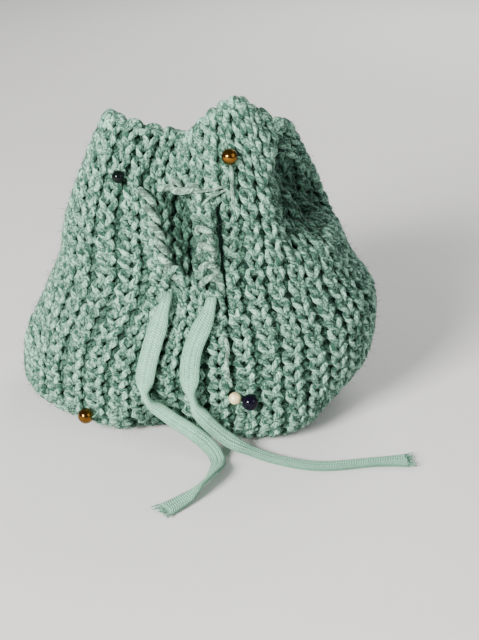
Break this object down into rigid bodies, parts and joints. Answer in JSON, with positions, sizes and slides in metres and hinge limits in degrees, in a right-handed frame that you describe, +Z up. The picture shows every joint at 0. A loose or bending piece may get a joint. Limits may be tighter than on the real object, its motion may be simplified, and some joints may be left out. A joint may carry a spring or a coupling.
{
  "type": "drawstring pouch",
  "caption": "Small hand-knitted ribbed pouch standing on its base, drawn in at the waist by a flat tape whose free ends hang over the front, with beads sewn on.",
  "frame": {"origin": "middle of the resting base, on the surface it stands on", "axes": "+Z up through the mouth, -Y out of the front with the tape ends, +X to the right as seen from the front"},
  "size_m": [0.1245, 0.1288, 0.1025],
  "materials": {
    "knit": "soft ribbed knit in a mottled sea-green yarn",
    "tape": "flat braid with a fine knitted face",
    "bead_gold": "polished",
    "bead_cream": "pearly gloss",
    "bead_dark_green": "opaque gloss",
    "bead_dark_purple": "opaque gloss"
  },
  "bodies": {
    "root": {"pouch_body": "knit", "drawstring_neck": "tape", "tape_left": "tape", "tape_right": "tape", "bead_dark_top": "bead_dark_green", "bead_gold_top": "bead_gold", "bead_gold_base": "bead_gold", "bead_cream_base": "bead_cream", "bead_dark_base": "bead_dark_purple"}
  },
  "joints": []
}
